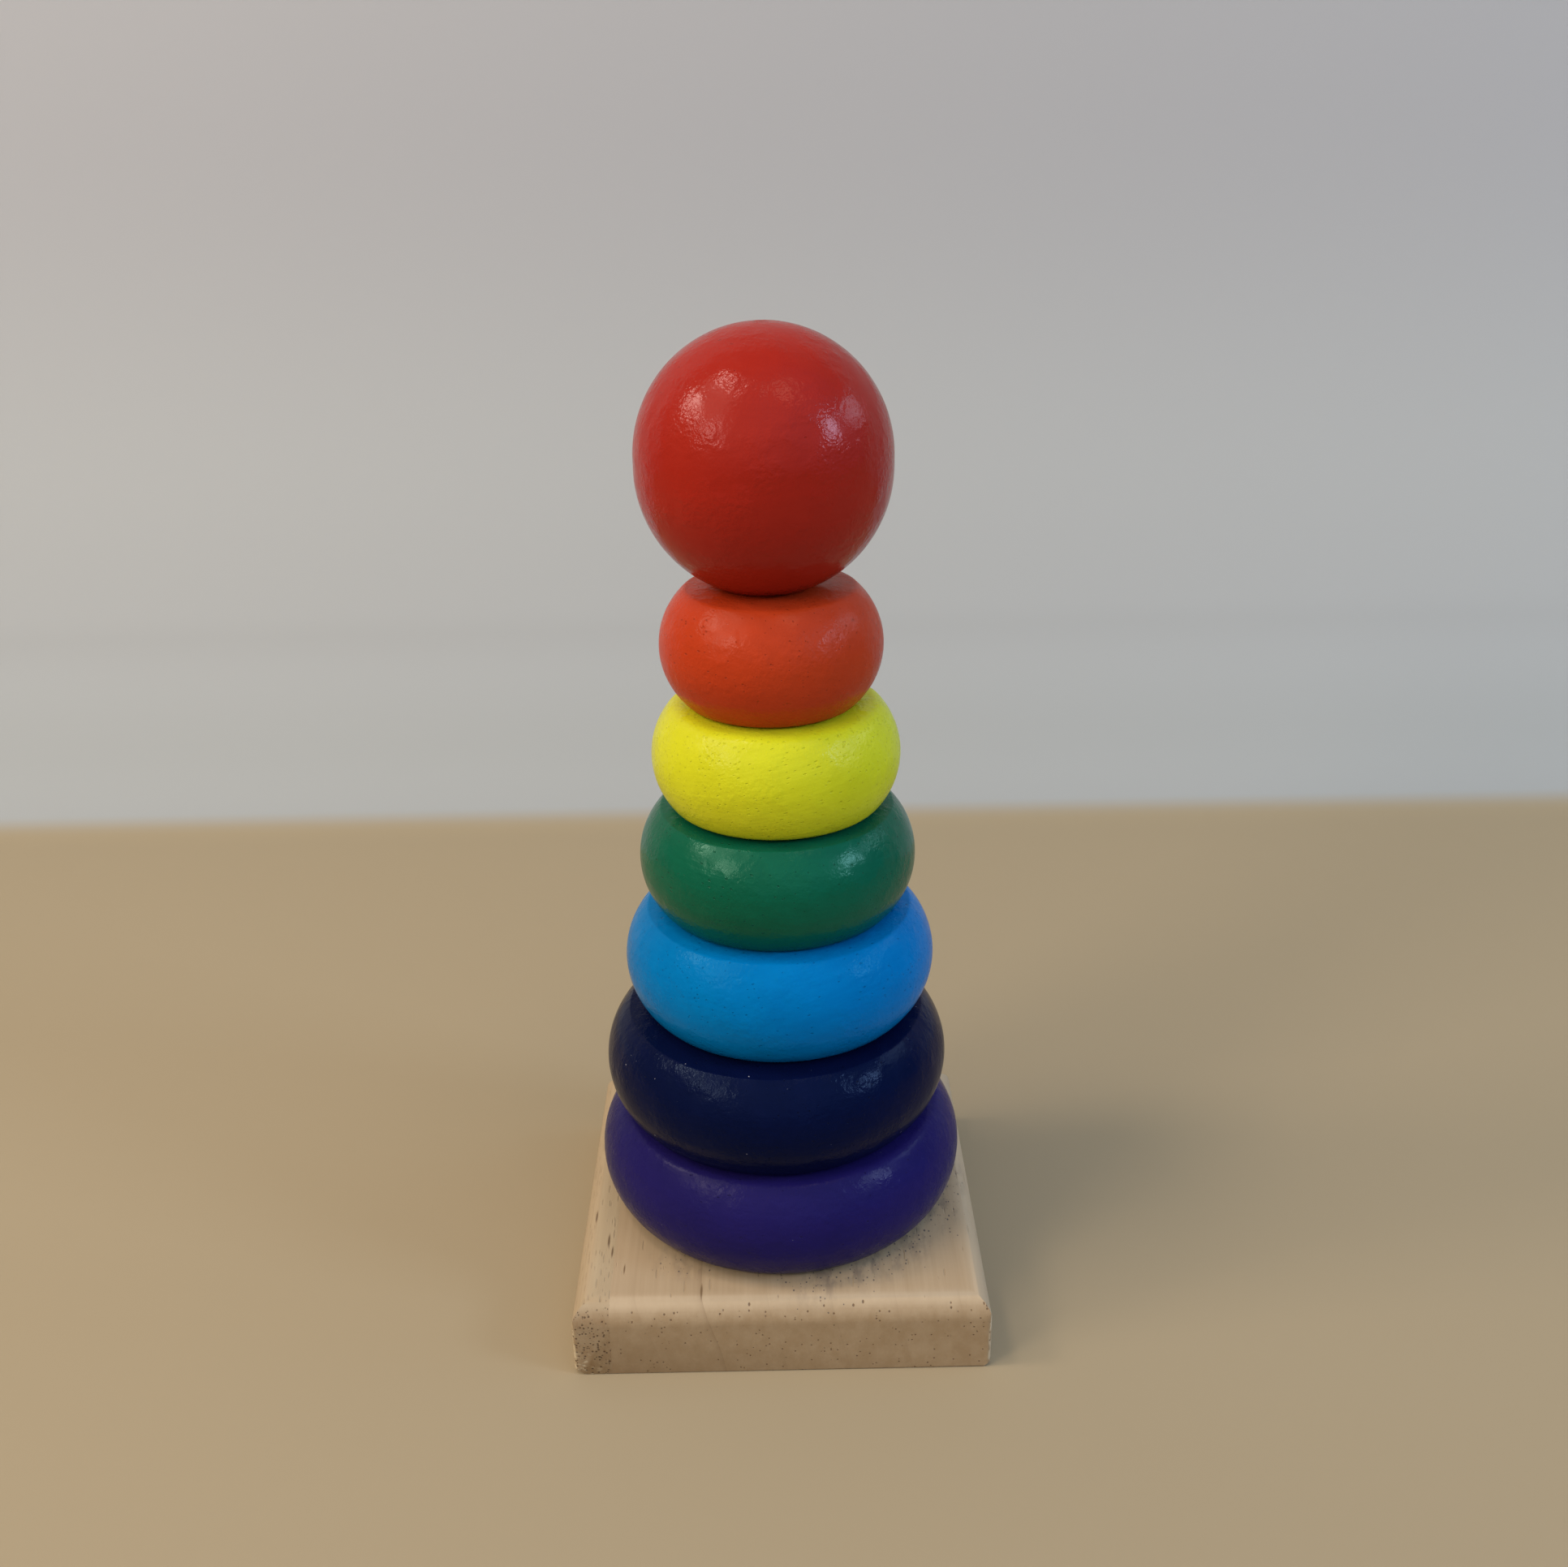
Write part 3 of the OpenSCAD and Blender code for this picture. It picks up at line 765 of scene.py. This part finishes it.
yellowRing = {
    "creaseRound": 3.0 * mm,
    "node": "ring_yellow", "body": "yellow_ring", "slot": "yellow_paint",
    "paint": (204, 205, 33), "deep": (195, 195, 28), "poreTone": (118, 112, 12),
    "rough": (0.24, 0.33), "shine": 0.15, "shineTint": (1.0, 1.0, 1.0),
    "peel": 1.8, "turning": 0.45, "marks": 0.15, "pores": 0.98, "poreDepth": 0.1, "dust": 0.0,
    "grainTurn": -12, "grainLean": 12, "shift": (0.51, 0.03, 0.13),
}
orangeRing = {
    "creaseRound": 1.4 * mm,
    "node": "ring_orange", "body": "orange_ring", "slot": "orange_paint",
    "paint": (180, 57, 25), "deep": (171, 53, 22), "poreTone": (98, 28, 12),
    "rough": (0.24, 0.33), "shine": 0.12, "shineTint": (1.0, 1.0, 1.0),
    "peel": 1.8, "turning": 0.3, "marks": 0.4, "pores": 0.25, "poreDepth": 0.35, "dust": 0.0,
    "grainTurn": 55, "grainLean": -10, "shift": (0.61, 0.13, 0.07),
}


def turnRing(name, look):
    low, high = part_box(look["node"])
    middle = (low + high) / 2
    radius = (high.x - low.x) / 2
    tall = high.z - low.z
    side, ease = ringSection["sideRadius"], look["creaseRound"]
    drop, wide = ringSection["landDrop"], ringSection["landWide"]
    bore, mouth = ringSection["boreRadius"], ringSection["mouthEase"]
    sideOut = radius - side  # centre of the round side, out from the axis
    seatOut = sideOut + math.sqrt(side ** 2 - (tall / 2 - drop) ** 2) - wide
    slope = math.atan2(drop, wide)
    # the small round that eases the crease touches the sloping land and the round side
    startOut = seatOut - ease * math.sin(slope)
    startUp = tall / 2 - ease * math.cos(slope)
    reach = side - ease
    across = (startOut - sideOut) * math.cos(slope) - startUp * math.sin(slope)
    along = -across + math.sqrt(across ** 2 - (startOut - sideOut) ** 2 - startUp ** 2 + reach ** 2)
    landOut, landDown = along * math.cos(slope), along * math.sin(slope)
    easeOut = startOut + landOut
    easeUp = startUp - landDown
    sideTurn = math.atan2(easeUp, easeOut - sideOut)
    easeTurn = math.pi / 2 - slope - sideTurn

    nothingSelected()
    bpy.ops.mesh.primitive_plane_add(size=1 * mm, location=(
        middle.x + seatOut + landOut, middle.y, high.z - landDown))
    ring = startPiece(name)
    bpy.ops.mesh.select_all(action="SELECT")
    bpy.ops.mesh.merge(type="CENTER")  # one point, where the upper land ends
    for out, up, turn, steps in ((easeOut, easeUp, easeTurn, ringSection["easeSteps"]),
                                 (sideOut, 0, 2 * sideTurn, ringSection["sideSteps"]),
                                 (easeOut, -easeUp, easeTurn, ringSection["easeSteps"])):
        bpy.ops.mesh.spin(steps=steps, angle=-turn, axis=(0, 1, 0),
                          center=(middle.x + out, middle.y, middle.z + up))
    extrude(-landOut, 0, -landDown)  # under land
    extrude(bore + mouth - seatOut, 0, 0)  # flat seat
    extrude(-mouth, 0, mouth)  # mouth of the bore
    extrude(0, 0, tall - 2 * mouth)
    extrude(mouth, 0, mouth)
    extrude(seatOut - bore - mouth, 0, 0)
    extrude(landOut, 0, -landDown)
    bpy.ops.mesh.select_all(action="SELECT")
    bpy.ops.mesh.remove_doubles(threshold=5 * weldGap)
    bpy.ops.mesh.select_all(action="SELECT")
    bpy.ops.mesh.spin(steps=ringSection["turnSteps"], angle=2 * math.pi,
                      center=(middle.x, middle.y, 0), axis=(0, 0, 1))
    closeShell()
    finishPiece(ring, look, satinPaint(name + "Paint", look))
    print(name, "turned:", len(ring.data.polygons), "faces")


turnRing("purpleRing", purpleRing)
turnRing("navyRing", navyRing)
turnRing("lightBlueRing", lightBlueRing)
turnRing("greenRing", greenRing)
turnRing("yellowRing", yellowRing)
turnRing("orangeRing", orangeRing)


# the ball on top: a globe with a short straight band, cut flat below and drilled
redBall = {
    "node": "ball", "body": "red_ball", "slot": "red_paint",
    "paint": (155, 34, 22), "deep": (149, 31, 20), "poreTone": (90, 16, 11),
    "rough": (0.16, 0.22), "shine": 0.19, "shineTint": (1.0, 0.74, 0.82),
    "peel": 1.9, "turning": 0.06, "marks": 0.0, "pores": 0.01, "poreDepth": 0.2, "dust": 0.0,
    "grainTurn": 25, "grainLean": 0, "shift": (0.71, 0.09, 0.11),
    "lowCentre": 19.95 * mm, "band": 1.6 * mm,
    "boreRadius": 5.6 * mm, "boreDepth": 20.5 * mm, "mouthEase": 0.4 * mm,
    "scarInset": 0.45 * mm, "scarDip": 0.12 * mm, "scarRise": 0.7,  # the turner's mark on top
    "segments": 192, "rings": 96,
}
ballLow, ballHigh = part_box(redBall["node"])
ballX, ballY = (ballLow.x + ballHigh.x) / 2, (ballLow.y + ballHigh.y) / 2
ballRadius = (ballHigh.x - ballLow.x) / 2
ballMiddle = ballLow.z + redBall["lowCentre"]
nothingSelected()
bpy.ops.mesh.primitive_uv_sphere_add(
    segments=redBall["segments"], ring_count=redBall["rings"], radius=ballRadius,
    location=(ballX, ballY, ballMiddle))
ball = startPiece("redBall")
pick(ball, "VERT", lambda vert: vert.co.z > ballMiddle + near)
bpy.ops.transform.translate(value=(0, 0, redBall["band"]))
trimBeyond((0, 0, ballLow.z), (0, 0, -1))
trimBeyond((0, 0, ballHigh.z), (0, 0, 1))
pick(ball, "FACE", lambda face: face.normal.z < -0.999 and face.calc_center_median().z < ballLow.z + near)
boreMouth = redBall["boreRadius"] + redBall["mouthEase"]
seatRadius = math.sqrt(ballRadius ** 2 - redBall["lowCentre"] ** 2)
bpy.ops.mesh.inset(thickness=seatRadius - boreMouth, depth=0)
extrude(0, 0, redBall["mouthEase"])
mouthShrink = redBall["boreRadius"] / boreMouth
bpy.ops.transform.resize(value=(mouthShrink, mouthShrink, 1), center_override=(ballX, ballY, 0))
extrude(0, 0, redBall["boreDepth"] - redBall["mouthEase"])
pick(ball, "FACE", lambda face: face.normal.z > 0.9999 and face.calc_center_median().z > ballHigh.z - near)
bpy.ops.mesh.inset(thickness=redBall["scarInset"], depth=0)
bpy.ops.transform.translate(value=(0, 0, -redBall["scarDip"]))
bpy.ops.mesh.inset(thickness=redBall["scarInset"], depth=0)
bpy.ops.transform.translate(value=(0, 0, redBall["scarDip"] * redBall["scarRise"]))
closeShell()
finishPiece(ball, redBall, satinPaint("redBallPaint", redBall))
print("ball made:", len(ball.data.polygons), "faces")
